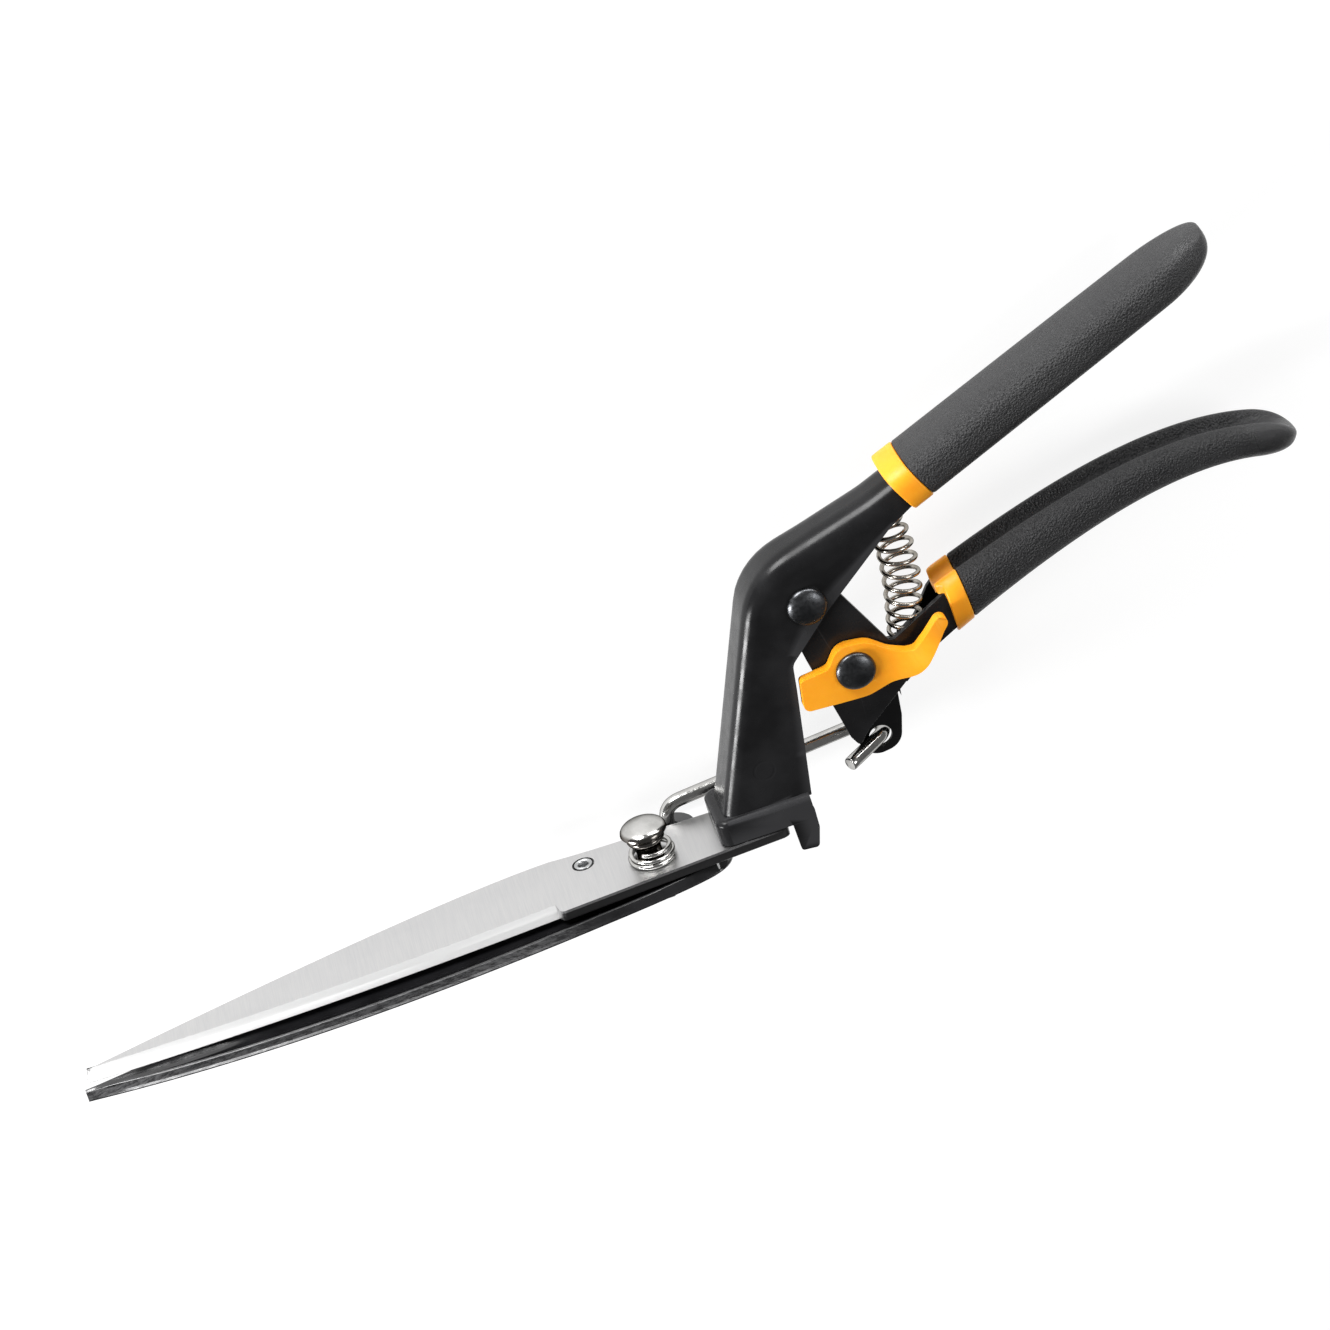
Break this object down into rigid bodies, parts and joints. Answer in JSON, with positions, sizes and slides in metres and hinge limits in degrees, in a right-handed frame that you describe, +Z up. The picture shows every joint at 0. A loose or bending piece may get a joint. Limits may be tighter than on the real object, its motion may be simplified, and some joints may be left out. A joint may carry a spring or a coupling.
{
  "type": "grass shears",
  "caption": "One-handed grass shears with a fixed upper blade, a rod-driven swinging lower blade, sleeved squeeze handles, a return spring and a closing catch.",
  "frame": {"origin": "centre of the overall box, at its bottom, with the tool lying on its far side, closed and locked", "axes": "+X runs along the tool from the blade tips to the grip ends, +Y is the blades' normal on the handle side, +Z is up and is the axis of both handle pivots"},
  "size_m": [0.3438, 0.1332, 0.0424],
  "materials": {
    "black_paint": "satin black paint on pressed steel",
    "grip_upper": "dipped soft vinyl, fine pebble grain",
    "grip_lower": "dipped soft vinyl, fine pebble grain",
    "orange_plastic": "moulded orange-yellow plastic, semi gloss",
    "ground_steel": "ground and lightly brushed hardened steel",
    "black_coating": "black non-stick coating, worn grey on the ground rim",
    "bright_nickel": "bright nickel plate",
    "spring_steel": "bright drawn spring wire",
    "gunmetal": "dark blued rivet heads",
    "zinc": "plain zinc plate"
  },
  "bodies": {
    "upper_handle": {"upper_handle_channel": "black_paint", "upper_grip": "grip_upper", "upper_grip_collar": "orange_plastic", "handle_pivot_rivet": "gunmetal", "upper_blade": "ground_steel", "blade_bearing_pin": "zinc", "tang_rivet_1": "zinc", "tang_rivet_2": "zinc", "pivot_stud": "bright_nickel", "stud_spring": "bright_nickel", "stud_washer": "zinc", "stud_nut": "zinc", "upper_spring_seat": "black_paint", "handle_spring": "spring_steel"},
    "lower_handle": {"lower_handle_channel": "black_paint", "lower_grip": "grip_lower", "lower_grip_collar": "orange_plastic", "pivot_bush": "zinc", "catch_rivet": "gunmetal", "lower_spring_seat": "black_paint"},
    "catch": {"catch_lever": "orange_plastic"},
    "rod": {"link_rod": "bright_nickel"},
    "cutting_blade": {"lower_blade": "black_coating"}
  },
  "joints": [
    {"name": "handle_squeeze", "type": "hinge", "parent": "upper_handle", "child": "lower_handle", "pos_m": [0.0392, 0.0044, 0.02095], "axis": [0, 0, 1], "range_deg": [-9, 0], "deforming": ["handle_spring"]},
    {"name": "blade_swing", "type": "hinge", "parent": "upper_handle", "child": "cutting_blade", "pos_m": [-0.0165, -0.0599, 0.02295], "axis": [0, 1, 0], "range_deg": [0, 27]},
    {"name": "link_pivot", "type": "hinge", "parent": "lower_handle", "child": "rod", "pos_m": [0.0497, -0.04685, 0.01545], "axis": [0, 0, 1], "range_deg": [0, 9]},
    {"name": "catch_release", "type": "hinge", "parent": "lower_handle", "child": "catch", "pos_m": [0.0466, -0.0169, 0.02895], "axis": [0, 0, 1], "range_deg": [0, 54]}
  ],
  "couplings": [
    {"joint": "blade_swing", "follows": "handle_squeeze", "ratio": -3},
    {"joint": "link_pivot", "follows": "handle_squeeze", "ratio": -1},
    {"joint": "catch_release", "follows": "handle_squeeze", "ratio": -6}
  ]
}
